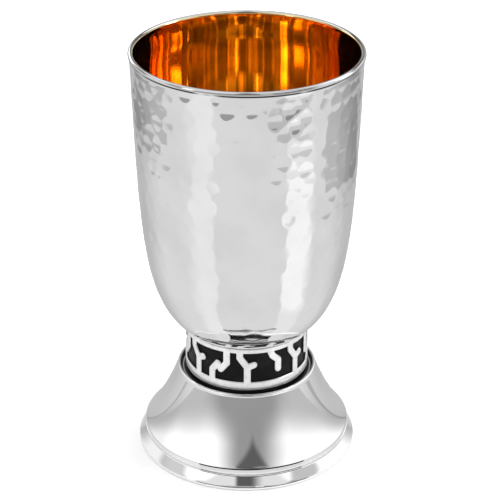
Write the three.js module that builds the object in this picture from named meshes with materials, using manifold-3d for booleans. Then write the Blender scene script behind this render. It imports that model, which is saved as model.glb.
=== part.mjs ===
// Kiddush cup: a hammered silver bowl, gilt inside, on a cast fretwork collar and a spun, hollow, polished foot.
// Millimetres, +Z up. The origin is the middle of the footprint, on the surface that the cup stands on.
import * as THREE from "three";
import { mergeVertices } from "three/addons/utils/BufferGeometryUtils.js";
import Module from "manifold-3d";

// ---- driving dimensions ----

const SEGMENTS = 48; // flats round every turned piece

const WALL = 0.7; // thickness of the bowl and of the foot
const JOINT_GAP = 0.25; // clearance where the bowl nests in the collar

const BOWL = {
  rimRadius: 34.28, // outer wall just below the rim
  rimHeight: 128.3, // where the wall runs into the rolled rim
  lean: 0.0278, // how much the wall leans out for each millimetre it rises
  bottom: 36.3, // lowest point of the outside, inside the collar
  roundness: 15.2, // height over which the bottom turns into the wall
  fullness: 0.378, // under a half: a flatter bottom and a fuller turn
  wallRows: 12, // steps in the outline
};

const RIM = {
  radius: 33.8, // middle of the rolled edge
  height: 129.15,
  halfWidth: 0.82,
  halfHeight: 0.85,
  steps: 8,
};

const COLLAR = {
  base: 26.43,
  innerRadius: 17.3,
  groundRadius: 18.35, // the sunk ground between the strokes
  faceRadius: 19.13, // the rails and the strokes
  bottomRail: 2.6,
  topRail: 1.4,
};

const STROKE = {
  width: 2.2,
  faceRadius: 19.03, // a little below the rails
  rootRadius: 18.05, // let into the ground
  reach: 0.5, // how far each end runs on past its last joint
};
const SPUR_STEP = 0.08; // how much lower a spur's face is than its post's

const POST_COUNT = 7;
const POST_START = -50.7; // angle of the first post, from the front

const FOOT = {
  baseRadius: 34.14,
  baseEdge: 0.9, // height of the soft edge at the bottom of the skirt
  flangeRadius: 31.3, // inner edge of the flat ring it stands on
  shoulderCentre: [29.8, 5.3], // the shoulder rounds in to the skirt below its widest line
  shoulderRadius: 2.4,
  shoulderTurn: [-46, 0], // degrees above level at the shoulder's two ends
  cornerCentre: [31.54, 6], // the tight corner between the shoulder and the bell
  cornerRadius: 0.6,
  cornerTurn: [2, 42],
  waist: [26.8, 12], // pull of the bell's hollow curve
  neck: [21.65, 25.5], // top of the bell
  lipCentre: [21.05, 25.6],
  lipRadius: 0.62,
  gutter: [20.1, 24.95], // floor of the groove round the collar
  bossRadius: 18.9, // what the collar stands on
  topUnderside: 24.2,
};

// ---- helpers ----

const wasm = await Module();
wasm.setup();

const rad = THREE.MathUtils.degToRad;

function asSolid(geometry) {
  const bare = geometry.index ? geometry.toNonIndexed() : geometry.clone();
  bare.deleteAttribute("normal");
  bare.deleteAttribute("uv");
  const merged = mergeVertices(bare, 1e-4);
  const corners = merged.index.array;
  const kept = [];
  for (let i = 0; i < corners.length; i += 3) {
    const [a, b, c] = corners.subarray(i, i + 3);
    if (a !== b && b !== c && c !== a) kept.push(a, b, c);
  }
  return new wasm.Manifold(
    new wasm.Mesh({
      numProp: 3,
      vertProperties: merged.attributes.position.array,
      triVerts: new Uint32Array(kept),
    }),
  );
}

function asGeometry(solid) {
  const mesh = solid.getMesh();
  const geometry = new THREE.BufferGeometry();
  geometry.setAttribute("position", new THREE.BufferAttribute(mesh.vertProperties, mesh.numProp));
  geometry.setIndex(new THREE.BufferAttribute(mesh.triVerts, 1));
  const faceted = geometry.toNonIndexed();
  faceted.computeVertexNormals();
  return faceted;
}

// Turns an outline of [radius, height] points round +Z. The outline runs up the outside and down the inside.
function turned(outline) {
  const profile = outline.map(([r, z]) => new THREE.Vector2(r, z));
  const geometry = new THREE.LatheGeometry(profile, SEGMENTS);
  geometry.rotateX(Math.PI / 2);
  return asSolid(geometry);
}

function points(curve, steps) {
  return curve.getPoints(steps).map((p) => [p.x, p.y]);
}

function named(name, solid, colour, roughness, metalness) {
  const material = new THREE.MeshStandardMaterial({ color: colour, roughness, metalness });
  const mesh = new THREE.Mesh(asGeometry(solid), material);
  mesh.name = name;
  return mesh;
}

// ---- bowl ----

// Outer radius at a height: a wall that leans out evenly, closed below by a rounded bottom.
function bowlRadius(z, wall = 0) {
  const side = BOWL.rimRadius - wall - BOWL.lean * (BOWL.rimHeight - z);
  const rise = Math.max(0, z - BOWL.bottom - wall);
  return side * (1 - Math.exp(-rise / BOWL.roundness)) ** BOWL.fullness;
}

// Height of the bowl's outside at a radius, found by halving.
function bowlHeight(radius) {
  let low = BOWL.bottom;
  let high = BOWL.rimHeight;
  for (let i = 0; i < 40; i += 1) {
    const middle = (low + high) / 2;
    if (bowlRadius(middle) < radius) low = middle;
    else high = middle;
  }
  return low;
}

// The wall's outline from the axis to the rim. Steps are short near the bottom, where it bends most.
function bowlWall(wall) {
  const rows = [];
  const start = BOWL.bottom + wall;
  for (let i = 0; i <= BOWL.wallRows; i += 1) {
    const z = start + (BOWL.rimHeight - start) * (i / BOWL.wallRows) ** 2.6;
    rows.push([bowlRadius(z, wall), z]);
  }
  return rows;
}

function rolledRim() {
  const rows = [];
  for (let i = 0; i <= RIM.steps; i += 1) {
    const turn = rad(-30 + (240 * i) / RIM.steps);
    rows.push([RIM.radius + RIM.halfWidth * Math.cos(turn), RIM.height + RIM.halfHeight * Math.sin(turn)]);
  }
  return rows;
}

function bowl() {
  const solid = turned([...bowlWall(0), ...rolledRim(), ...bowlWall(WALL).reverse()]);
  return named("bowl", solid, 0xd9d9db, 0.12, 1);
}

// ---- collar ----

const groundBottom = COLLAR.base + COLLAR.bottomRail;
const collarTop = bowlHeight(COLLAR.faceRadius) - JOINT_GAP;
const groundTop = collarTop - COLLAR.topRail;

// A stroke's joints are [angle, height]: degrees from its post, and 0 at the bottom rail to 1 at the top rail.
const POST = [
  [0, 0],
  [0, 0.52],
  [-7, 0.84],
  [-7, 1],
];
const SPUR = [
  [0, 0.52],
  [6, 0.6],
];
const CELLS = [
  [
    [
      [21, 1],
      [21, 0.42],
    ],
    [
      [41, 1],
      [38, 0.55],
      [26, 0],
    ],
  ],
  [
    [
      [17, 0],
      [17, 0.3],
      [23, 0.56],
    ],
    [
      [32, 1],
      [32, 0.62],
      [26, 0.38],
    ],
  ],
  [
    [
      [22, 1],
      [24, 0.84],
      [30, 0.66],
      [30, 0.36],
    ],
  ],
];

// A stroke's flat outline: its joints are offset to both sides, with mitred corners.
function strokeShape(joints) {
  const route = joints.map(([x, y]) => new THREE.Vector2(x, y));
  const first = route[1].clone().sub(route[0]).setLength(STROKE.reach);
  const last = route.at(-1).clone().sub(route.at(-2)).setLength(STROKE.reach);
  route[0].sub(first);
  route.at(-1).add(last);
  const left = [];
  const right = [];
  route.forEach((joint, i) => {
    const before = route[Math.max(i - 1, 0)];
    const after = route[Math.min(i + 1, route.length - 1)];
    const into = joint.equals(before) ? null : joint.clone().sub(before).normalize();
    const out = joint.equals(after) ? null : after.clone().sub(joint).normalize();
    const along = (into ?? out).clone().add(out ?? into).normalize();
    const mitre = STROKE.width / 2 / along.dot(into ?? out);
    const side = new THREE.Vector2(-along.y, along.x).multiplyScalar(mitre);
    left.push(joint.clone().add(side));
    right.push(joint.clone().sub(side));
  });
  return new THREE.Shape([...right, ...left.reverse()]);
}

// Bends a flat stroke round the collar. The front of the collar faces -Y, and angles grow towards +X.
function strokeSolid(path, postAngle, faceRadius) {
  const flat = path.map(([angle, height]) => [
    rad(postAngle + angle) * COLLAR.faceRadius,
    groundBottom + (groundTop - groundBottom) * height,
  ]);
  const depth = faceRadius - STROKE.rootRadius;
  const geometry = new THREE.ExtrudeGeometry(strokeShape(flat), { depth, bevelEnabled: false });
  const place = geometry.getAttribute("position");
  for (let i = 0; i < place.count; i += 1) {
    const angle = place.getX(i) / COLLAR.faceRadius;
    const radius = STROKE.rootRadius + place.getZ(i);
    place.setXYZ(i, radius * Math.sin(angle), -radius * Math.cos(angle), place.getY(i));
  }
  return asSolid(geometry);
}

function collar() {
  const sleeve = turned([
    [COLLAR.innerRadius, COLLAR.base],
    [COLLAR.faceRadius, COLLAR.base],
    [COLLAR.faceRadius, groundBottom],
    [COLLAR.groundRadius, groundBottom + 0.3],
    [COLLAR.groundRadius, groundTop - 0.3],
    [COLLAR.faceRadius, groundTop],
    [COLLAR.faceRadius, collarTop],
    [COLLAR.innerRadius, bowlHeight(COLLAR.innerRadius) - JOINT_GAP],
    [COLLAR.innerRadius, COLLAR.base],
  ]);
  let solid = sleeve;
  for (let post = 0; post < POST_COUNT; post += 1) {
    const angle = POST_START + (360 * post) / POST_COUNT;
    solid = solid.add(strokeSolid(SPUR, angle, STROKE.faceRadius - SPUR_STEP));
    for (const path of [POST, ...CELLS[(post + 1) % CELLS.length]]) {
      solid = solid.add(strokeSolid(path, angle, STROKE.faceRadius));
    }
  }
  return named("collar", solid, 0xc9c9c9, 0.3, 1);
}

// ---- foot ----

function arc([r, z], radius, from, to, steps) {
  const rows = [];
  for (let i = 0; i <= steps; i += 1) {
    const turn = rad(from + ((to - from) * i) / steps);
    rows.push([r + radius * Math.cos(turn), z + radius * Math.sin(turn)]);
  }
  return rows;
}

// The bell from the skirt over the shoulder to the neck. The inside is a wall thickness in, with a sharp corner.
function bell(wall, steps) {
  const shoulder = arc(FOOT.shoulderCentre, FOOT.shoulderRadius - wall, ...FOOT.shoulderTurn, 4);
  const corner = arc(FOOT.cornerCentre, Math.max(FOOT.cornerRadius - wall, 0.05), ...FOOT.cornerTurn, 3);
  const [r, z] = corner.at(-1);
  const curve = new THREE.QuadraticBezierCurve(
    new THREE.Vector2(r, z),
    new THREE.Vector2(FOOT.waist[0] - wall, FOOT.waist[1] - wall / 2),
    new THREE.Vector2(FOOT.neck[0] - wall, Math.min(FOOT.neck[1], FOOT.topUnderside + WALL - wall)),
  );
  return [...shoulder, ...corner, ...points(curve, steps).slice(1)];
}

function foot() {
  const outside = [
    [FOOT.flangeRadius, 0],
    [FOOT.baseRadius - FOOT.baseEdge / 2, 0],
    [FOOT.baseRadius, FOOT.baseEdge],
    ...bell(0, 7),
    ...arc(FOOT.lipCentre, FOOT.lipRadius, 25, 165, 4),
    [FOOT.gutter[0], FOOT.gutter[1]],
    [FOOT.bossRadius, FOOT.gutter[1]],
    [FOOT.bossRadius, COLLAR.base],
    [0, COLLAR.base],
  ];
  const inside = [
    [0, FOOT.topUnderside],
    ...bell(WALL, 7).reverse(),
    [FOOT.flangeRadius, WALL],
    [FOOT.flangeRadius, 0],
  ];
  return named("foot", turned([...outside, ...inside]), 0xe4e4e4, 0.05, 1);
}

// ---- the whole cup ----

const cup = new THREE.Group();
cup.add(bowl(), collar(), foot());

export default cup;
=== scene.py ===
"""A kiddush cup: a hammered silver bowl gilt inside, a collar with raised strokes and a foot."""

import math

import bpy
import numpy as np
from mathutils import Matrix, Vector


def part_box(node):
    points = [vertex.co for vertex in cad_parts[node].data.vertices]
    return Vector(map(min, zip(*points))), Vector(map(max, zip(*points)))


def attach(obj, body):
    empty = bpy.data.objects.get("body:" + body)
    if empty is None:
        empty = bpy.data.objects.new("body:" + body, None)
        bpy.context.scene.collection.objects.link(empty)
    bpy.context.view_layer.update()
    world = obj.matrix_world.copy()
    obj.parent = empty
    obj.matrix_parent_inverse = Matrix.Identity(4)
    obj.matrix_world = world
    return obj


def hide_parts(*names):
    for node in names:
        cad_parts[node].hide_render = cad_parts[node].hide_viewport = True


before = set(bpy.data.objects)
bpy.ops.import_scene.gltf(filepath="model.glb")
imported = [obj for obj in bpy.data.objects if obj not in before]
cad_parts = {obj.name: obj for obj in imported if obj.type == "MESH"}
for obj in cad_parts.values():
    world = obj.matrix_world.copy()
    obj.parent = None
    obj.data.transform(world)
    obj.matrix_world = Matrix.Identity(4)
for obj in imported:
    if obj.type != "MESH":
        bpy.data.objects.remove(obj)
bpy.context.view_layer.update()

bl_info = {
    "name": "Kiddush Cup",
    "version": (1, 0, 0),
    "blender": (4, 5, 0),
    "location": "View3D > Sidebar > Kiddush Cup",
    "description": "Builds a hammered silver kiddush cup on its collar and foot",
    "category": "Add Mesh",
}

MM = 0.001
TURN = 2 * math.pi


def node_box(name):
    """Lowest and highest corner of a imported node, as two arrays in metres."""
    low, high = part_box(name)
    return np.array(low), np.array(high)


BOWL_LOW, BOWL_HIGH = node_box("bowl")
COLLAR_LOW, COLLAR_HIGH = node_box("collar")
_, FOOT_HIGH = node_box("foot")


# ---------------------------------------------------------------- settings


class BowlSettings(bpy.types.PropertyGroup):
    wall: bpy.props.FloatProperty(
        name="Wall", description="Thickness of the silver", default=0.7 * MM, unit="LENGTH")
    bead: bpy.props.FloatProperty(
        name="Rolled rim", description="Width of the rolled edge", default=1.64 * MM, unit="LENGTH")
    dimple_pitch: bpy.props.FloatProperty(
        name="Hammer marks", description="Distance from one hammer mark to the next",
        default=4.4 * MM, unit="LENGTH")
    dimple_depth: bpy.props.FloatProperty(
        name="Mark depth", description="Depth of a hammer mark", default=0.11 * MM, unit="LENGTH")
    silver: bpy.props.FloatVectorProperty(
        name="Silver", description="Colour of the silver",
        default=(0.88, 0.88, 0.885), subtype="COLOR")
    gilt: bpy.props.FloatVectorProperty(
        name="Gilt", description="Colour of the gold plating",
        default=(0.95, 0.765, 0.42), subtype="COLOR")


class CollarSettings(bpy.types.PropertyGroup):
    relief: bpy.props.FloatProperty(
        name="Relief", description="Height of the strokes over the ground",
        default=0.78 * MM, unit="LENGTH")
    stroke: bpy.props.FloatProperty(
        name="Stroke", description="Width of a stroke", default=2.2 * MM, unit="LENGTH")
    bottom_rail: bpy.props.FloatProperty(
        name="Bottom rail", description="Height of the lower band", default=2.6 * MM, unit="LENGTH")
    top_rail: bpy.props.FloatProperty(
        name="Top rail", description="Height of the upper band", default=1.4 * MM, unit="LENGTH")
    ground: bpy.props.FloatVectorProperty(
        name="Ground", description="Colour of the blackened ground",
        default=(0.005, 0.005, 0.0055), subtype="COLOR")
    silver: bpy.props.FloatVectorProperty(
        name="Strokes", description="Colour of the raised silver",
        default=(0.95, 0.95, 0.95), subtype="COLOR")


class FootSettings(bpy.types.PropertyGroup):
    wall: bpy.props.FloatProperty(
        name="Wall", description="Thickness of the silver", default=0.7 * MM, unit="LENGTH")
    lip: bpy.props.FloatProperty(
        name="Lip", description="Radius of the rounded lip round the collar",
        default=0.62 * MM, unit="LENGTH")
    silver: bpy.props.FloatVectorProperty(
        name="Silver", description="Colour of the polished silver",
        default=(0.9, 0.9, 0.905), subtype="COLOR")


class StageSettings(bpy.types.PropertyGroup):
    distance: bpy.props.FloatProperty(
        name="Camera distance", description="From the cup's axis, level",
        default=497.2 * MM, unit="LENGTH")
    height: bpy.props.FloatProperty(
        name="Camera height", description="Above the floor", default=314.0 * MM, unit="LENGTH")
    pitch: bpy.props.FloatProperty(
        name="Camera pitch", description="Angle below level",
        default=math.radians(26.61), subtype="ANGLE")
    offset: bpy.props.FloatProperty(
        name="Camera offset", description="To the right of the axis",
        default=0.99 * MM, unit="LENGTH")
    roll: bpy.props.FloatProperty(
        name="Camera roll", description="Turn about its own view",
        default=math.radians(0.124), subtype="ANGLE")
    lens: bpy.props.FloatProperty(
        name="Lens", description="Focal length in millimetres", default=131.1)


# ---------------------------------------------------------------- surfaces


def curve_of(corners, steps):
    """Bezier curve of the second degree: (1-t)^2 A + 2t(1-t) B + t^2 C, at evenly spaced t."""
    start, pull, end = np.array(corners, float)
    t = np.linspace(0, 1, steps)[:, None]
    return (1 - t) ** 2 * start + 2 * t * (1 - t) * pull + t**2 * end


def arc_of(centre, radii, start, stop, steps):
    """Ellipse arc: centre + (radii_r cos a, radii_z sin a), a from start to stop in degrees."""
    angle = np.radians(np.linspace(start, stop, steps))
    return np.array(centre) + np.stack([np.cos(angle), np.sin(angle)], 1) * np.array(radii)


def lengths_along(outline):
    """Arc length from the start of an outline to each of its points."""
    step = np.hypot(*np.diff(outline, axis=0).T)
    return np.concatenate([[0], np.cumsum(step)])


def spaced(outline, count):
    """Points at evenly spaced arc lengths along an outline."""
    length = lengths_along(outline)
    want = length[-1] * np.linspace(0, 1, count)
    return np.stack([np.interp(want, length, outline[:, k]) for k in (0, 1)], 1)


def outward(outline):
    """Unit normals: the tangent (dr, dz) turned to (dz, -dr), outwards on a line that rises."""
    tangent = np.gradient(outline, axis=0)
    tangent /= np.hypot(*tangent.T)[:, None]
    return np.stack([tangent[:, 1], -tangent[:, 0]], 1)


def angles(columns):
    """Evenly spaced angles round the axis, from the front (-Y) towards +X."""
    return np.arange(columns) * TURN / columns


def around(angle, radius, height):
    """Points (r sin a, -r cos a, z) round the axis."""
    parts = np.broadcast_arrays(radius * np.sin(angle), -radius * np.cos(angle), height)
    return np.stack(parts, -1)


def turned(radius, height):
    """Surface of revolution: a row of radii and heights at each angle round the axis."""
    return around(angles(radius.shape[1]), radius, height)


def rings(outline, columns):
    """An outline of (r, z) turned round the axis, as rows of points."""
    return turned(outline[:, :1] * np.ones(columns), outline[:, 1:])


def smooth(value, low, high):
    """The S curve 3t^2 - 2t^3, with t going from 0 at low to 1 at high."""
    t = np.clip((value - low) / (high - low), 0, 1)
    return t * t * (3 - 2 * t)


def placed(name, data):
    """A new object in the scene, for a mesh, a light or a camera."""
    item = bpy.data.objects.new(name, data)
    bpy.context.scene.collection.objects.link(item)
    return item


def shell(name, rows, start=None, end=None, slots=None):
    """
    A mesh over rows of points that close on themselves across. Cell (i, j) is the quad between
    rows i and i + 1 and columns j and j + 1. A point at the start or end closes that end with a
    fan; with neither, the last row joins the first. Slots holds each row's material slot.
    """
    count, columns = rows.shape[:2]
    points = rows.reshape(-1, 3)
    index = np.arange(count * columns).reshape(count, columns)
    across = np.roll(index, -1, axis=1)
    quads = np.stack([index[:-1], across[:-1], across[1:], index[1:]], 2).reshape(-1, 4)
    if start is None and end is None:
        seam = np.stack([index[-1], across[-1], across[0], index[0]], 1)
        quads = np.concatenate([quads, seam])
    fans = [np.empty((0, 3), int)]
    if start is not None:
        points = np.concatenate([points, [start]])
        fans.append(np.stack([np.full(columns, len(points) - 1), across[0], index[0]], 1))
    if end is not None:
        points = np.concatenate([points, [end]])
        fans.append(np.stack([index[-1], across[-1], np.full(columns, len(points) - 1)], 1))
    triangles = np.concatenate(fans)
    corners = np.concatenate([quads.ravel(), triangles.ravel()])
    starts = np.concatenate([
        np.arange(len(quads)) * 4,
        len(quads) * 4 + np.arange(len(triangles)) * 3,
    ])

    mesh = bpy.data.meshes.new(name)
    mesh.vertices.add(len(points))
    mesh.vertices.foreach_set("co", points.astype(np.float32).ravel())
    mesh.loops.add(len(corners))
    mesh.loops.foreach_set("vertex_index", corners.astype(np.int32))
    mesh.polygons.add(len(starts))
    mesh.polygons.foreach_set("loop_start", starts.astype(np.int32))
    mesh.polygons.foreach_set("use_smooth", np.ones(len(starts), bool))
    if slots is not None:
        quad_rows = np.arange(len(quads)) // columns
        face_slots = np.concatenate([slots[quad_rows], np.repeat([slots[0], slots[-1]], columns)])
        mesh.polygons.foreach_set("material_index", face_slots.astype(np.int32))
    mesh.update(calc_edges=True)
    mesh.validate()
    return placed(name, mesh)


# ---------------------------------------------------------------- shader graphs


class Value:
    """A socket of a shader graph, on which sums are written as Python expressions."""

    def __init__(self, graph, socket):
        self.graph = graph
        self.socket = socket

    def __add__(self, other):
        return self.graph.maths("ADD", self, other)

    def __sub__(self, other):
        return self.graph.maths("SUBTRACT", self, other)

    def __rsub__(self, other):
        return self.graph.maths("SUBTRACT", other, self)

    def __mul__(self, other):
        return self.graph.maths("MULTIPLY", self, other)

    def __pow__(self, other):
        return self.graph.maths("POWER", self, other)

    def __abs__(self):
        return self.graph.maths("ABSOLUTE", self)

    __radd__ = __add__
    __rmul__ = __mul__


class Graph:
    """The node graph of a material or a world."""

    def __init__(self, tree):
        self.tree = tree
        tree.nodes.clear()

    def node(self, kind, settings=None, inputs=None, output=0):
        """Adds a node, sets its settings first, then its sockets from numbers or other values."""
        made = self.tree.nodes.new(kind)
        for key, setting in (settings or {}).items():
            setattr(made, key, setting)
        for key, value in (inputs or {}).items():
            if isinstance(value, Value):
                self.tree.links.new(value.socket, made.inputs[key])
            else:
                made.inputs[key].default_value = value
        return Value(self, made.outputs[output]) if made.outputs else None

    def maths(self, operation, *values):
        """A Math node on values or numbers, in the order that its operation takes them."""
        return self.node("ShaderNodeMath", {"operation": operation}, dict(enumerate(values)))

    def between(self, value, low, high, bottom=0.0, top=1.0):
        """A smooth step from bottom to top as the value goes from low to high."""
        return self.node(
            "ShaderNodeMapRange", {"interpolation_type": "SMOOTHSTEP"},
            {"Value": value, "From Min": low, "From Max": high, "To Min": bottom, "To Max": top})

    def mix(self, share, first, second):
        """A colour between two, each a value or three numbers. Sockets 6, 7 and 2 are colours."""
        inputs = {0: share}
        for key, colour in ((6, first), (7, second)):
            inputs[key] = colour if isinstance(colour, Value) else (*colour, 1.0)
        return self.node("ShaderNodeMix", {"data_type": "RGBA"}, inputs, output=2)

    def noise(self, place, scale, detail=2.0, roughness=0.5):
        """Soft noise from 0 to 1, at a place."""
        return self.node(
            "ShaderNodeTexNoise", None,
            {"Vector": place, "Scale": scale, "Detail": detail, "Roughness": roughness})

    def lines(self, place, round_scale, up_scale, detail):
        """Noise drawn out into lines round the axis."""
        scale = (round_scale, round_scale, up_scale)
        stretched = self.node("ShaderNodeMapping", None, {"Vector": place, "Scale": scale})
        return self.noise(stretched, 1.0, detail)

    def bump(self, height, distance, strength):
        """A normal that leans as if the height stood that distance off the surface."""
        return self.node(
            "ShaderNodeBump", None, {"Height": height, "Distance": distance, "Strength": strength})

    def place(self):
        """Where a point lies on its piece."""
        return self.node("ShaderNodeTexCoord", output="Object")

    def parts(self, vector):
        """The X, Y and Z of a place or a direction."""
        first = self.node("ShaderNodeSeparateXYZ", None, {"Vector": vector})
        return [Value(self, socket) for socket in first.socket.node.outputs]

    def bearing(self, x, y):
        """Degrees round the axis, from the front towards +X."""
        return self.maths("ARCTAN2", x, y * -1.0) * math.degrees(1)

    def distance(self, x, y):
        """Distance from the axis."""
        return (x * x + y * y) ** 0.5

    def finish(self, kind, sockets, output="ShaderNodeOutputMaterial"):
        """Ends the graph in one shader, with its sockets fed."""
        self.node(output, None, {"Surface": self.node(kind, None, sockets)})

    def finish_metal(self, sockets):
        """Ends the graph in bare metal, apart from what the sockets say."""
        bare = {"Metallic": 1.0, "Specular IOR Level": METAL_EDGE}
        self.finish("ShaderNodeBsdfPrincipled", bare | sockets)


def blank(name):
    """A new material and its empty graph."""
    material = bpy.data.materials.new(name)
    material.use_nodes = True
    return material, Graph(material.node_tree)


def shaded(colour, red, green, blue):
    """A colour with its channels multiplied by three shares."""
    return (red * colour[0], green * colour[1], blue * colour[2])


def dulled(colour, share):
    """A colour with all its channels multiplied by one share."""
    return shaded(colour, share, share, share)


# ---------------------------------------------------------------- finishes

# Noise scales are patches per metre. A pair of levels is where a smooth step starts and ends, and a
# pair of roughnesses is what it goes from and to.
METAL_EDGE = 0.12
PATCHES = (0.35, 0.7)

GRIME = (0.3, 0.7)
SILVER_ROUGHNESS = (0.045, 0.09)
# Painted shade: a black line along the underside of the rolled rim, broken into patches.
RIM_SHADE_HEIGHT = BOWL_HIGH[2] - 1.3 * MM
RIM_SHADE_FADE = (0.42 * MM, 0.2 * MM)
RIM_SHADE_STRENGTH = 0.95
RIM_SHADE_BLACK = (0.012, 0.012, 0.012)


def hammered_silver(colour):
    """Bright silver, cloudy with fine scuffs, and with painted shade in a dark line under the
    rolled rim.
    """
    material, graph = blank("hammered_silver")
    place = graph.place()
    z = graph.parts(place)[2]
    cloud = graph.noise(place, scale=70.0, detail=3.0)
    scuff = graph.noise(place, scale=900.0, detail=3.0)
    # Painted shade: the silver turns black along a line under the rim, in noise patches.
    shade_patches = graph.between(graph.noise(place, scale=110.0), low=0.3, high=0.55)
    rim_shade = graph.between(abs(z - RIM_SHADE_HEIGHT), *RIM_SHADE_FADE) * shade_patches
    dull = dulled(colour, share=0.93)
    clean = graph.mix(graph.between(cloud, *PATCHES), colour, dull)
    grime = cloud * 0.6 + scuff * 0.4
    graph.finish_metal({
        "Base Color": graph.mix(rim_shade * RIM_SHADE_STRENGTH, clean, RIM_SHADE_BLACK),
        "Roughness": graph.between(grime, *GRIME, *SILVER_ROUGHNESS),
        "Normal": graph.bump(scuff, distance=0.004 * MM, strength=0.5),
    })
    return material


RING_HEIGHTS = (0.3, 0.75)
GILT_ROUGHNESS = (0.03, 0.07)


def gilt(colour):
    """Deep gold plating over fine rings left by spinning."""
    material, graph = blank("gilt")
    place = graph.place()
    ring = graph.lines(place, round_scale=8.0, up_scale=2600.0, detail=3.0)
    cloud = graph.noise(place, scale=60.0)
    deep = shaded(colour, red=1.0, green=0.93, blue=0.8)
    graph.finish_metal({
        "Base Color": graph.mix(graph.between(cloud, *PATCHES), colour, deep),
        "Roughness": graph.between(ring, *RING_HEIGHTS, *GILT_ROUGHNESS),
        "Normal": graph.bump(ring, distance=0.002 * MM, strength=0.4),
    })
    return material


RAGGEDNESS = 0.25
RELIEF_EDGE = (0.45, 0.75)
BARED = (0.2, 0.8)
COLLAR_METALLIC = (0.0, 0.6)
COLLAR_ROUGHNESS = (0.42, 0.2)


def oxidised_silver(silver, ground):
    """Satin silver on the strokes and a matt black ground, by the height of the relief."""
    material, graph = blank("oxidised_silver")
    place = graph.place()
    relief = graph.node("ShaderNodeAttribute", {"attribute_name": "relief"}, output="Fac")
    grain = graph.noise(place, scale=700.0, detail=4.0, roughness=0.6)
    patch = graph.noise(place, scale=160.0, detail=3.0)
    raised = graph.between(relief + (patch - 0.5) * RAGGEDNESS, *RELIEF_EDGE)
    worn = dulled(silver, share=0.86)
    lightened = dulled(ground, share=3.2)
    bright = graph.mix(graph.between(grain, low=0.4, high=0.75), silver, worn)
    black = graph.mix(graph.between(patch, low=0.45, high=0.75), ground, lightened)
    graph.finish_metal({
        "Base Color": graph.mix(raised, black, bright),
        "Metallic": graph.between(raised, *BARED, *COLLAR_METALLIC),
        "Roughness": graph.between(raised, 0.0, 1.0, *COLLAR_ROUGHNESS),
        "Normal": graph.bump(grain, distance=0.03 * MM, strength=0.6),
    })
    return material


# Painted shade in the groove inside the foot's lip, and a painted reflection that lightens a ring
# along it. Depths are inwards from the lip's middle, and heights are over the floor.
GROOVE_WALL = (0.05 * MM, 0.35 * MM)
GROOVE_HEIGHT = (24.0 * MM, 24.5 * MM)
GROOVE_SHADE_BLACK = (0.02, 0.02, 0.02)
GROOVE_ROUGHNESS = 0.3
REFLECTION_MIDDLE = 1.15 * MM
REFLECTION_FADE = (0.3 * MM, 0.1 * MM)
REFLECTION_STRENGTH = 0.75
FOOT_ROUGHNESS = (0.035, 0.07)


def polished_silver(colour, lip_radius):
    """Mirror polish with faint buffing lines round the axis, painted shade in the groove at the
    lip, and a painted reflection along the groove.
    """
    material, graph = blank("polished_silver")
    place = graph.place()
    x, y, z = graph.parts(place)
    line = graph.lines(place, round_scale=10.0, up_scale=1800.0, detail=2.0)
    haze = graph.noise(place, scale=45.0, detail=3.0)
    radius = graph.distance(x, y)
    # Painted shade: black in the groove. Painted reflection: a ring along the groove's middle, less
    # black.
    inside_lip = graph.between(radius, *(lip_radius - depth for depth in GROOVE_WALL))
    groove_shade = inside_lip * graph.between(z, *GROOVE_HEIGHT)
    lightened = graph.between(abs(radius - (lip_radius - REFLECTION_MIDDLE)), *REFLECTION_FADE)
    black = groove_shade * (1.0 - lightened * REFLECTION_STRENGTH)
    dull = dulled(colour, share=0.95)
    clean = graph.mix(graph.between(haze, low=0.4, high=0.7), colour, dull)
    grime = haze * 0.7 + line * 0.3
    graph.finish_metal({
        "Base Color": graph.mix(black, clean, GROOVE_SHADE_BLACK),
        "Roughness": graph.between(grime, *PATCHES, *FOOT_ROUGHNESS) + black * GROOVE_ROUGHNESS,
        "Normal": graph.bump(line, distance=0.001 * MM, strength=0.3),
    })
    return material


# ---------------------------------------------------------------- bowl

LEAN = 0.0278
ROUNDNESS = 15.2 * MM
FULLNESS = 0.378
BOTTOM_CROWDING = 3
RIM_OVERHANG = 0.34 * MM
BEAD_HEIGHT = 1.7 * MM
BEAD_ARC = (-35, 180)
SEAT_OVERLAP = 1.8 * MM
LINING_BLEND = 9 * MM

BOWL_COLUMNS = 480
HIDDEN_RINGS = 4
WALL_RINGS = 154
BEAD_RINGS = 11
GILT_FROM = 8
INSIDE_RINGS = 38

# Hammer marks. Steps, reaches and wanderings are shares of the distance between marks.
SEED = 7
RIDGE_SHARPNESS = 130.0 / MM
ROW_STEP = 0.86
FIRST_ROW = 0.3
FEWEST_MARKS = 6
WANDER_ROUND = 0.3
WANDER_UP = 0.28
REACHES = (0.56, 0.74)
FARTHEST_REACH = 1.8
FORCES = (0.5, 1.25)
HARD_BLOWS = 0.3
HARD_BLOW_FORCE = 0.9
LOW_FORCE = 0.55
LOW_TO_HIGH = (0.25, 0.6)
MARKS_END = 1.6 * MM

# Ripples left in the inside by spinning: waves round the wall, height in millimetres and start in
# degrees. They fade in below the rim, and fade out towards the axis.
RIPPLES = [
    (3, 0.030, 20), (5, 0.028, 95), (9, 0.022, 200), (14, 0.018, 310), (22, 0.011, 45),
    (31, 0.006, 150), (47, 0.001, 260),
]
RIPPLES_BELOW_RIM = 3 * MM
RIPPLES_RADII = (6 * MM, 28 * MM)


def bowl_outline(wall, samples=4000):
    """
    The bowl from its axis to its rim. At height z the radius is side(z) (1 - exp(-h / c))^f, where
    side leans out evenly, h is the height over the bottom, c the roundness and f the fullness.
    """
    rim_radius = BOWL_HIGH[0] - RIM_OVERHANG - wall
    rim_height = BOWL_HIGH[2] - BEAD_HEIGHT
    bottom = BOWL_LOW[2] + wall
    height = bottom + (rim_height - bottom) * np.linspace(0, 1, samples) ** BOTTOM_CROWDING
    side = rim_radius - LEAN * (rim_height - height)
    radius = side * (1 - np.exp(-(height - bottom) / ROUNDNESS)) ** FULLNESS
    return np.stack([radius, height], 1)


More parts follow.
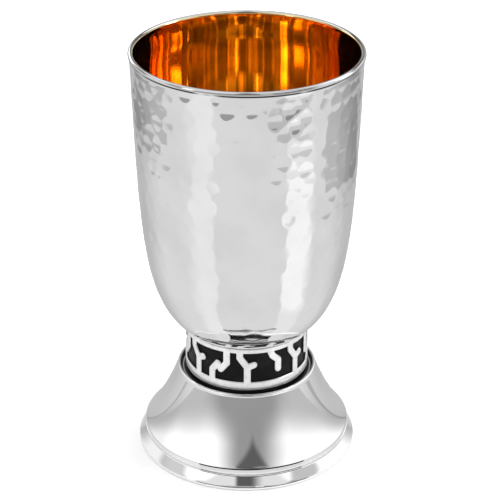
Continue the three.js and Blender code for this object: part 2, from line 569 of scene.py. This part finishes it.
def hammer_marks(outline, columns, pitch, depth, draw):
    """
    How far the wall is beaten in at each row and column. A mark i is a shallow dish,
    depth (d^2 / reach^2 - 1) at a distance d from its middle, and the surface is the soft minimum
    of all of them and of 0: -1/k log(1 + sum exp(-k dish)). Marks are deeper on the upper half.
    """
    along = lengths_along(outline)
    angle = angles(columns)
    beaten = np.ones((len(outline), columns))
    for row in range(int(along[-1] / (ROW_STEP * pitch)) + 1):
        middle = (row + FIRST_ROW) * ROW_STEP * pitch
        share = middle / along[-1]
        girth = TURN * np.interp(middle, along, outline[:, 0])
        count = max(FEWEST_MARKS, round(girth / pitch))
        stagger = 0.5 * (row % 2)
        wander = draw.uniform(-WANDER_ROUND, WANDER_ROUND, count)
        turn = (np.arange(count) + stagger + wander) * TURN / count
        place = middle + draw.uniform(-WANDER_UP, WANDER_UP, count) * pitch
        force = draw.uniform(*FORCES, count)
        force += (draw.random(count) < HARD_BLOWS * share) * HARD_BLOW_FORCE
        deep = depth * force * (LOW_FORCE + (1 - LOW_FORCE) * smooth(share, *LOW_TO_HIGH))
        reach = pitch * draw.uniform(*REACHES, count)
        near = np.abs(along - middle) < FARTHEST_REACH * pitch
        sweep = np.abs(angle[:, None] - turn) % TURN
        sweep = np.minimum(sweep, TURN - sweep)
        across = sweep[None] * outline[near, 0][:, None, None]
        away = along[near][:, None, None] - place
        dish = deep * ((across**2 + away**2) / reach**2 - 1)
        beaten[near] += np.exp(-RIDGE_SHARPNESS * dish).sum(2)
    return -np.log(beaten) / RIDGE_SHARPNESS


def ripples(columns):
    """Waves round the inside: the sum of height x cos(count x angle + start)."""
    angle = angles(columns)
    waves = (size * np.cos(count * angle + math.radians(start)) for count, size, start in RIPPLES)
    return MM * sum(waves)


def make_bowl(settings):
    """The outside beaten with dished marks, the rim rolled, and the inside spun smooth and gilt."""
    draw = np.random.default_rng(SEED)
    outer = bowl_outline(0.0)
    seat = np.searchsorted(outer[:, 0], COLLAR_HIGH[0] - SEAT_OVERLAP)
    hidden = spaced(outer[: seat + 1], HIDDEN_RINGS + 2)[1:-1]
    wall = spaced(outer[seat:], WALL_RINGS)
    marks = hammer_marks(wall, BOWL_COLUMNS, settings.dimple_pitch, settings.dimple_depth, draw)
    marks *= smooth(wall[-1, 1] - wall[:, 1:], 0.0, MARKS_END)
    normal = outward(wall)
    radius = wall[:, :1] + normal[:, :1] * marks
    height = wall[:, 1:] + normal[:, 1:] * marks

    half = settings.bead / 2
    centre = (BOWL_HIGH[0] - half, BOWL_HIGH[2] - BEAD_HEIGHT / 2)
    bead = arc_of(centre, (half, BEAD_HEIGHT / 2), *BEAD_ARC, BEAD_RINGS)

    inside = spaced(bowl_outline(settings.wall)[::-1], INSIDE_RINGS + 1)[:-1]
    drop = inside[0, 1] - inside[:, 1]
    step_in = inside[0, 0] - bead[-1, 0]
    lining = inside[:, :1] - step_in * (1 - smooth(drop, 0.0, LINING_BLEND))[:, None]
    fade = smooth(drop, 0.0, RIPPLES_BELOW_RIM) * smooth(inside[:, 0], *RIPPLES_RADII)
    lining = lining + fade[:, None] * ripples(BOWL_COLUMNS)

    rows = np.concatenate([
        rings(hidden, BOWL_COLUMNS),
        turned(radius, height),
        rings(bead, BOWL_COLUMNS),
        turned(lining, inside[:, 1:]),
    ])
    bottom = (0, 0, BOWL_LOW[2])
    floor = (0, 0, BOWL_LOW[2] + settings.wall)
    silver_rows = HIDDEN_RINGS + WALL_RINGS + GILT_FROM
    slots = np.where(np.arange(len(rows)) < silver_rows, 0, 1)
    piece = shell("bowl_hammered", rows, bottom, floor, slots)
    piece.data.materials.append(hammered_silver(settings.silver))
    piece.data.materials.append(gilt(settings.gilt))
    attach(piece, "root")
    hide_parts("bowl")
    return piece


# ---------------------------------------------------------------- collar

COLLAR_COLUMNS = 800
COLLAR_RINGS = 92
COLLAR_WALL = 1.83 * MM
BOWL_GAP = 0.12 * MM
BACK_STEP = 4 * MM
EDGE = 0.32 * MM
EDGE_SOFTENING = 0.12 * MM
SOFT_BASE = 0.4 * MM
SOFT_TOP = 0.3 * MM
POST_COUNT = 7
POST_START = -50.7

# A stroke's joints are (degrees from its post, height from 0 at the bottom rail to 1 at the top).
POST = [(0, 0), (0, 0.52), (-7, 0.84), (-7, 1)]
SPUR = [(0, 0.52), (6, 0.6)]
CELLS = [
    [[(21, 1), (21, 0.42)], [(41, 1), (38, 0.55), (26, 0)]],
    [[(17, 0), (17, 0.3), (23, 0.56)], [(32, 1), (32, 0.62), (26, 0.38)]],
    [[(22, 1), (24, 0.84), (30, 0.66), (30, 0.36)]],
]


def stroke_paths():
    """Every stroke round the collar, as joints of (angle in degrees, height share)."""
    paths = []
    for post in range(POST_COUNT):
        start = POST_START + 360 * post / POST_COUNT
        for path in [POST, SPUR, *CELLS[(post + 1) % len(CELLS)]]:
            paths.append([(start + turn, height) for turn, height in path])
    return paths


def distance_to(path, across, up, girth):
    """
    Distance from each point of a flat sheet to a line of joints: the least of its distances to the
    lengths between them. The sheet closes on itself after one girth.
    """
    nearest = np.full(np.broadcast(across, up).shape, np.inf)
    for (x0, y0), (x1, y1) in zip(path, path[1:]):
        along = np.array([x1 - x0, y1 - y0])
        right = (across - x0 + girth / 2) % girth - girth / 2
        above = up - y0
        share = np.clip((right * along[0] + above * along[1]) / (along @ along), 0, 1)
        here = np.hypot(right - share * along[0], above - share * along[1])
        nearest = np.minimum(nearest, here)
    return nearest


def make_collar(settings):
    """A sleeve of radius ground + relief x height, height 1 on rails and strokes and 0 between."""
    face = COLLAR_HIGH[0]
    ground = face - settings.relief
    inner = face - COLLAR_WALL
    base = COLLAR_LOW[2]
    outer = bowl_outline(0.0)
    top = np.interp(face, outer[:, 0], outer[:, 1]) - BOWL_GAP
    inner_top = np.interp(inner, outer[:, 0], outer[:, 1]) - BOWL_GAP
    low = base + settings.bottom_rail
    high = top - settings.top_rail

    up = np.linspace(base, top, COLLAR_RINGS)[:, None]
    girth = TURN * face
    across = (angles(COLLAR_COLUMNS) * face)[None]
    rails = np.maximum(smooth(up, low + EDGE, low), smooth(up, high - EDGE, high))
    raised = np.broadcast_to(rails, (COLLAR_RINGS, COLLAR_COLUMNS))
    half = settings.stroke / 2
    for path in stroke_paths():
        flat = [(math.radians(turn) * face, low + (high - low) * share) for turn, share in path]
        away = distance_to(flat, across, up, girth)
        raised = np.maximum(raised, smooth(away, half + EDGE / 2, half - EDGE / 2))
    ends = smooth(up, base + SOFT_BASE, base) + smooth(up, top - SOFT_TOP, top)
    radius = ground + settings.relief * raised - EDGE_SOFTENING * ends

    back = np.array([(inner, inner_top), (inner, base + BACK_STEP), (inner, base)])
    rows = np.concatenate([turned(radius, up), rings(back, COLLAR_COLUMNS)])
    piece = shell("collar_strokes", rows)
    relief = piece.data.attributes.new("relief", "FLOAT", "POINT")
    height = np.concatenate([raised.ravel(), np.ones(len(back) * COLLAR_COLUMNS)])
    relief.data.foreach_set("value", height.astype(np.float32))
    piece.data.materials.append(oxidised_silver(settings.silver, settings.ground))
    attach(piece, "root")
    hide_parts("collar")
    return piece


# ---------------------------------------------------------------- foot

FOOT_COLUMNS = 320


def from_edge(right, up):
    """A place (r, z) given in millimetres from the foot's widest radius and from the floor."""
    return np.array([FOOT_HIGH[0] + right * MM, up * MM])


# Centres of arcs and corners of curves on the outline, from the floor up. An arc is its first and
# last angle in degrees and its steps.
LEDGE = from_edge(-0.3, 0.35)
LEDGE_RADII = (0.3 * MM, 0.35 * MM)
LEDGE_ARC = (-80, 0, 5)
BAND = from_edge(-0.5, 0.8)
BAND_RADII = (0.5 * MM, 0.38 * MM)
BAND_ARC = (5, 46, 5)
SKIRT_EDGE = from_edge(-0.2, 1.1)
SKIRT_PULL = from_edge(-1.45, 2.3)
SKIRT_STEPS = 12
SHOULDER = from_edge(-4.34, 5.3)
SHOULDER_RADIUS = 2.4 * MM
SHOULDER_ARC = (-46, 0, 16)
CORNER = from_edge(-2.95, 5.9)
CORNER_RADIUS = 1.0 * MM
CORNER_ARC = (2, 42, 8)
SMALLEST_RADIUS = 0.05 * MM
WAIST = from_edge(-7.34, 12.0)
NECK = from_edge(-12.49, 25.5)
HOLLOW_STEPS = 60
LIP = NECK + (-0.6 * MM, 0.1 * MM)
LIP_ARC = (10, 170, 12)
GUTTER = LIP + (-0.95 * MM, -0.65 * MM)
GUTTER_RADIUS = 0.28 * MM
GUTTER_ARC = (-20, -90, 6)

BOSS_RADIUS = COLLAR_HIGH[0] - 0.23 * MM
BOSS_FILLET = 0.1 * MM
BOSS_BEVEL = 0.05 * MM
FLANGE_RADIUS = from_edge(-2.84, 0)[0]
FLANGE_LIP = 0.1 * MM
CEILING_DROP = 0.2 * MM
CEILING_STEP = 1.6 * MM
FACE_SHARES = (0.75, 0.4)


def bell(inset):
    """The foot's side from skirt to neck, moved inwards: shoulder arc, corner arc, hollow curve."""
    shoulder = arc_of(SHOULDER, (SHOULDER_RADIUS - inset,) * 2, *SHOULDER_ARC)
    corner_radius = max(CORNER_RADIUS - inset, SMALLEST_RADIUS)
    corner = arc_of(CORNER, (corner_radius,) * 2, *CORNER_ARC)
    pull = WAIST - (inset, inset / 2)
    hollow = curve_of((corner[-1], pull, NECK - (inset, inset)), HOLLOW_STEPS)
    return np.concatenate([shoulder, corner, hollow[1:]])


def foot_outside(top, lip_radius):
    """The outline from the flange round the skirt, up the bell and over the lip to the boss."""
    side = bell(0.0)
    skirt = curve_of((SKIRT_EDGE, SKIRT_PULL, side[0]), SKIRT_STEPS)
    over_gutter = GUTTER + (0.0, GUTTER_RADIUS)
    return np.concatenate([
        [(FLANGE_RADIUS, 0), (LEDGE[0], 0)],
        arc_of(LEDGE, LEDGE_RADII, *LEDGE_ARC),
        arc_of(BAND, BAND_RADII, *BAND_ARC),
        skirt[1:],
        side[1:],
        arc_of(LIP, (lip_radius,) * 2, *LIP_ARC),
        arc_of(over_gutter, (GUTTER_RADIUS,) * 2, *GUTTER_ARC),
        [(BOSS_RADIUS + BOSS_FILLET, GUTTER[1]), (BOSS_RADIUS, GUTTER[1] + BOSS_FILLET)],
        [(BOSS_RADIUS, top - BOSS_BEVEL), (BOSS_RADIUS - BOSS_BEVEL, top)],
    ])


def make_foot(settings):
    """One closed outline turned round the axis: down the inside, and up the outside to the boss."""
    top = COLLAR_LOW[2]
    ceiling = NECK[1] - settings.wall - CEILING_DROP
    under = [(BOSS_RADIUS * share, ceiling) for share in FACE_SHARES[::-1]]
    inside = np.concatenate([
        under,
        [(NECK[0] - CEILING_STEP, ceiling)],
        bell(settings.wall)[::-1],
        [(FLANGE_RADIUS, settings.wall + FLANGE_LIP), (FLANGE_RADIUS, FLANGE_LIP)],
    ])
    face = [(BOSS_RADIUS * share, top) for share in FACE_SHARES]
    outline = np.concatenate([inside, foot_outside(top, settings.lip), face])
    piece = shell("foot_polished", rings(outline, FOOT_COLUMNS), (0, 0, ceiling), (0, 0, top))
    piece.data.materials.append(polished_silver(settings.silver, LIP[0]))
    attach(piece, "root")
    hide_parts("foot")
    return piece


# ---------------------------------------------------------------- stage

# In this section a pair of angles or distances is where a smooth step starts and ends. Angles are
# degrees, round from the front towards +X, or up from level. All the light is grey, so a level of
# light feeds a shader's colour as it is.

FLOOR_HALF = 3.0
FLOOR_COLOUR = (0.92, 0.92, 0.92, 1)
RING_SIDES = 96

GLOW_RADII = (36 * MM, 4.2)
GLOW_HEIGHT = 0.2 * MM
GLOW_LEVEL = 0.78

# The table's rear edge comes nearer from left to right: its distances and the angles between.
REAR_EDGE = (-60, 60, 0.24, 0.195)

# Zones of the lit sheet: what each adds, over the product of its steps. "turn" is the angle, "side"
# the angle without its sign, "away" the distance from the axis, "past" the way past the rear edge.
GLOW_ZONES = [
    (0.13, [("turn", -66, -46), ("turn", -31, -33.5)]),
    (0.1, [("turn", 37, 39.5), ("turn", 72, 60)]),
    (0.18, [("turn", 37, 39.5), ("turn", 72, 60), ("away", 0.235, 0.215), ("away", 0.062, 0.08)]),
    (-0.24, [("side", 88, 138)]),
    (-0.24, [("past", 0, 0.02), ("side", 80, 84), ("side", 150, 138), ("away", 0.335, 0.3)]),
    (-0.22, [("away", 0.268, 0.272), ("turn", 24, 27), ("turn", 66, 60)]),
    (-0.1, [("side", 80, 120), ("away", 0.3, 0.4)]),
]
FAR_FRONT = [("away", 0.36, 0.38), ("side", 76, 60)]
FAR_FRONT_DIMMING = 0.55

CARD_COLOUR = (0.01, 0.01, 0.01, 1)
CARD_STEPS = 33
CARD_MIDDLE = 4.0
CARD_HALF = 36.0
CARD_RADIUS = 40 * MM
CARD_TOP = 10.4 * MM
CARD_DROP = 3.6 * MM
CARD_SPREAD = 0.53 * CARD_DROP
CARD_SLATS = 2
CARD_SAG = 1.6 * MM

LIGHTS_RADIUS = 120 * MM
LIGHTS_HEIGHTS = (148 * MM, 203 * MM)
LIGHTS_LEVEL = 0.33
LIGHTS_TOP = (165 * MM, 182 * MM)
LIGHTS_TOP_DIMMING = 0.62

# Strip lights over the mouth: (middle angle, half width, softness, power over the rest).
STRIPS = [
    (94, 7, 1, 8.0), (84, 20, 10, 0.7), (-138, 12, 4, 1.5), (-84, 10, 6, 0.7), (48, 14, 4, -0.14),
    (-20, 22, 16, 0.1), (-50, 4, 2, 1.6), (16, 4, 2, 0.5), (124, 8, 4, 0.5),
]

WORLD_LEVEL = 0.34

# Broad lights to the right and left. Each rises from a height that changes round the cup, given
# as two angles round and the height at each.
BOX_RIGHT = (14, 60)
BOX_LEFT = (-7, -46)
BOX_POWER = 0.9
BOX_RISES = [(15, 60, 12.5, 6.0), (60, 110, 0.0, -5.5)]
BOX_SOFTNESS = (0, 17)
BOX_REAR = (176, 140)
BOX_LEFT_REAR = (-92, -112, 1.0, 0.72)
UNDER_BOX = (34, 72)
UNDER_BOX_POWER = 0.22

# A dark wedge over the front, and an even ceiling with a dim stripe.
WEDGE_MIDDLE = 8
WEDGE_SLOPE = 1.2
WEDGE_RISE = (19, 31)
WEDGE_DIMMING = 0.64
CEILING = (49.5, 52)
CEILING_LEVEL = 0.11
CEILING_POWER = 0.72
STRIPE_EDGES = [(-18, -11), (26, 5)]

# Gaps in the ceiling: (middle angle, steps round, slope, steps up, dimming).
GAPS = [
    (74, (20, 11), 0.3, (60.5, 62.5), 0.52),
    (-92, (19, 10), -0.5, (76.5, 78.5), 0.45),
]

LAMP_PLACE = (0.14, 0.06, 1.1)
LAMP_TARGET = (0, 0, 0.05)
LAMP_SIZE = 0.9
LAMP_POWER = 13.0
CAMERA_CLIP = 10 * MM
BOUNCES = 24
GLOSSY_BOUNCES = 10


def sheet(name, lines, closed=True):
    """Strips strung between lines of points, first to second, third to fourth and so on."""
    points = np.array(lines, float)
    count = points.shape[1]
    index = np.arange(len(points) * count).reshape(-1, 2, count)
    low, high = index[:, 0], index[:, 1]
    quads = np.stack([low, np.roll(low, -1, 1), np.roll(high, -1, 1), high], 2)
    if not closed:
        quads = quads[:, :-1]
    mesh = bpy.data.meshes.new(name)
    mesh.from_pydata(points.reshape(-1, 3).tolist(), [], quads.reshape(-1, 4).tolist())
    return placed(name, mesh)


def only_reflected(item):
    """Makes a stage piece that silver can mirror, otherwise unseen and without a shadow."""
    item.visible_camera = False
    item.visible_diffuse = False
    item.visible_shadow = False
    item.visible_transmission = False


def matt(name, colour, roughness, specular):
    """An even material without gloss."""
    material, graph = blank(name)
    graph.finish("ShaderNodeBsdfPrincipled", {
        "Base Color": colour, "Roughness": roughness, "Specular IOR Level": specular})
    return material


def make_floor():
    """A pale sheet that the cup stands on."""
    ends = (-FLOOR_HALF, FLOOR_HALF)
    floor = sheet("floor", [[(x, y, 0) for x in ends] for y in ends], closed=False)
    floor.data.materials.append(matt("pale_floor", FLOOR_COLOUR, roughness=0.9, specular=0.1))
    return floor


def zone(graph, measures, steps):
    """The product of smooth steps, each of (measure, start, end)."""
    first, *others = [graph.between(measures[name], start, end) for name, start, end in steps]
    return math.prod(others, start=first)


def make_table_glow():
    """
    What the silver sees of the table: a lit sheet that only reflections meet. It is brightest to
    the front left and front right, and falls to grey past the table's rear edge.
    """
    angle = angles(RING_SIDES)
    inner, outer = (around(angle, radius, GLOW_HEIGHT) for radius in GLOW_RADII)
    glow = sheet("table_glow", [outer, inner])
    material, graph = blank("table_glow")
    x, y, _ = graph.parts(graph.place())
    turn = graph.bearing(x, y)
    away = graph.distance(x, y)
    past = away - graph.between(turn, *REAR_EDGE)
    measures = {"turn": turn, "side": abs(turn), "away": away, "past": past}
    level = GLOW_LEVEL
    for power, steps in GLOW_ZONES:
        level = level + zone(graph, measures, steps) * power
    level = level * (1.0 - zone(graph, measures, FAR_FRONT) * FAR_FRONT_DIMMING)
    graph.finish("ShaderNodeEmission", {"Color": level})
    glow.data.materials.append(material)
    only_reflected(glow)
    return glow


def make_dark_card():
    """
    A low black blind, bent round the front of the foot. Its slats fall 1 mm for every 0.53 mm away
    from the cup, so that it closes the level view from the foot's shoulder and leaves the steep
    view from the bowl open. Its height sinks towards its ends by the square of the way there.
    """
    share = np.linspace(-1, 1, CARD_STEPS)
    angle = np.radians(CARD_MIDDLE + CARD_HALF * share)
    sag = CARD_SAG * share**2
    lines = []
    for slat in range(CARD_SLATS):
        high = CARD_TOP - slat * CARD_DROP
        lines.append(around(angle, CARD_RADIUS, high - sag))
        lines.append(around(angle, CARD_RADIUS + CARD_SPREAD, high - CARD_DROP - sag))
    # Painted shade for reflections alone: the foot's shoulder mirrors the blind as a black
    # crescent.
    card = sheet("dark_card", lines, closed=False)
    card.data.materials.append(matt("dark_card", CARD_COLOUR, roughness=1.0, specular=0.0))
    only_reflected(card)
    return card


def make_mouth_lights():
    """A ring of strip lights over the rim, for reflections alone: what the gilt inside looks at."""
    angle = angles(RING_SIDES)
    lights = sheet("mouth_lights", [around(angle, LIGHTS_RADIUS, high) for high in LIGHTS_HEIGHTS])
    material, graph = blank("mouth_lights")
    x, y, z = graph.parts(graph.place())
    turn = graph.bearing(x, y)
    level = LIGHTS_LEVEL
    for middle, half, soft, power in STRIPS:
        away = abs(graph.maths("WRAP", turn - middle, 180.0, -180.0))
        level = level + graph.between(away, half + soft, half) * power
    level = level * (1.0 - graph.between(z, *LIGHTS_TOP) * LIGHTS_TOP_DIMMING)
    graph.finish("ShaderNodeEmission", {"Color": level})
    lights.data.materials.append(material)
    only_reflected(lights)
    return lights


def make_world():
    """A soft studio, by direction: side lights, a dark wedge in front and a striped ceiling."""
    world = bpy.data.worlds.new("studio")
    bpy.context.scene.world = world
    world.use_nodes = True
    graph = Graph(world.node_tree)
    x, y, z = graph.parts(graph.node("ShaderNodeTexCoord", output="Generated"))
    turn = graph.bearing(x, y)
    lift = graph.maths("ARCSINE", z) * math.degrees(1)
    side = abs(turn)

    spread = graph.between(turn, *BOX_RIGHT) + graph.between(turn, *BOX_LEFT)
    rise = graph.between(side, *BOX_RISES[0]) + graph.between(side, *BOX_RISES[1])
    in_box = graph.between(lift - rise, *BOX_SOFTNESS)
    under = graph.between(side, *UNDER_BOX) * (1.0 - in_box) * UNDER_BOX_POWER
    rear = graph.between(side, *BOX_REAR) * graph.between(turn, *BOX_LEFT_REAR)
    box = (spread * in_box * BOX_POWER + under) * rear

    wedge = graph.between(lift - abs(turn - WEDGE_MIDDLE) * WEDGE_SLOPE, *WEDGE_RISE)
    level = (WORLD_LEVEL + box) * (1.0 - wedge * WEDGE_DIMMING)

    first, second = (graph.between(turn, *edge) for edge in STRIPE_EDGES)
    ceiling = CEILING_LEVEL + (1.0 - first * second) * CEILING_POWER
    level = level + graph.between(lift, *CEILING) * (ceiling - level)
    for middle, round_steps, slope, up_steps, dimming in GAPS:
        across = graph.between(abs(turn - middle), *round_steps)
        gap = across * graph.between(lift + turn * slope, *up_steps)
        level = level * (1.0 - gap * dimming)

    seen = graph.node("ShaderNodeLightPath", output="Is Camera Ray")
    level = level + seen * (1.0 - level)
    graph.finish("ShaderNodeBackground", {"Color": level}, output="ShaderNodeOutputWorld")
    return world


def make_lamp():
    """A soft square light over the cup, which doesn't show in the silver."""
    data = bpy.data.lights.new("overhead", "AREA")
    data.size = LAMP_SIZE
    data.energy = LAMP_POWER
    lamp = placed("overhead", data)
    lamp.location = LAMP_PLACE
    beam = Vector(LAMP_TARGET) - Vector(LAMP_PLACE)
    lamp.rotation_euler = beam.to_track_quat("-Z", "Y").to_euler()
    lamp.visible_glossy = False
    return lamp


def make_camera(settings):
    """A camera in front of the cup that looks down on it."""
    data = bpy.data.cameras.new("camera")
    data.lens = settings.lens
    data.clip_start = CAMERA_CLIP
    camera = placed("camera", data)
    camera.location = (settings.offset, -settings.distance, settings.height)
    camera.rotation_mode = "ZXY"
    camera.rotation_euler = (math.pi / 2 - settings.pitch, 0, settings.roll)
    bpy.context.scene.camera = camera
    return camera


# ---------------------------------------------------------------- add-on


class CUP_OT_bowl(bpy.types.Operator):
    """Make the hammered bowl"""

    bl_idname = "cup.bowl"
    bl_label = "Hammered bowl"

    def execute(self, context):
        make_bowl(context.scene.cup_bowl)
        return {"FINISHED"}


class CUP_OT_collar(bpy.types.Operator):
    """Make the collar with its raised strokes"""

    bl_idname = "cup.collar"
    bl_label = "Stroked collar"

    def execute(self, context):
        make_collar(context.scene.cup_collar)
        return {"FINISHED"}


class CUP_OT_foot(bpy.types.Operator):
    """Make the polished foot"""

    bl_idname = "cup.foot"
    bl_label = "Polished foot"

    def execute(self, context):
        make_foot(context.scene.cup_foot)
        return {"FINISHED"}


class CUP_OT_stage(bpy.types.Operator):
    """Make the floor, the lights and the camera"""

    bl_idname = "cup.stage"
    bl_label = "Floor, lights and camera"

    def execute(self, context):
        scene = context.scene
        make_floor()
        make_table_glow()
        make_dark_card()
        make_mouth_lights()
        make_world()
        make_lamp()
        make_camera(scene.cup_stage)
        scene.view_settings.view_transform = "Standard"
        scene.cycles.max_bounces = BOUNCES
        scene.cycles.glossy_bounces = GLOSSY_BOUNCES
        return {"FINISHED"}


class CUP_PT_panel(bpy.types.Panel):
    """Lists the pieces of the cup"""

    bl_idname = "CUP_PT_panel"
    bl_label = "Kiddush Cup"
    bl_space_type = "VIEW_3D"
    bl_region_type = "UI"
    bl_category = "Kiddush Cup"

    def draw(self, context):
        for operator, settings in STEPS:
            self.layout.operator(operator.bl_idname)
            group = getattr(context.scene, settings)
            for name in group.bl_rna.properties.keys():
                if name not in {"rna_type", "name"}:
                    self.layout.prop(group, name)


STEPS = [
    (CUP_OT_bowl, "cup_bowl"),
    (CUP_OT_collar, "cup_collar"),
    (CUP_OT_foot, "cup_foot"),
    (CUP_OT_stage, "cup_stage"),
]
GROUPS = {
    "cup_bowl": BowlSettings,
    "cup_collar": CollarSettings,
    "cup_foot": FootSettings,
    "cup_stage": StageSettings,
}


def register():
    for name, group in GROUPS.items():
        bpy.utils.register_class(group)
        setattr(bpy.types.Scene, name, bpy.props.PointerProperty(type=group))
    for operator, _ in STEPS:
        bpy.utils.register_class(operator)
    bpy.utils.register_class(CUP_PT_panel)


def unregister():
    bpy.utils.unregister_class(CUP_PT_panel)
    for operator, _ in reversed(STEPS):
        bpy.utils.unregister_class(operator)
    for name, group in reversed(GROUPS.items()):
        delattr(bpy.types.Scene, name)
        bpy.utils.unregister_class(group)


def main():
    register()
    bpy.ops.cup.bowl()
    bpy.ops.cup.collar()
    bpy.ops.cup.foot()
    bpy.ops.cup.stage()
    bpy.context.view_layer.update()


if __name__ == "__main__":
    main()
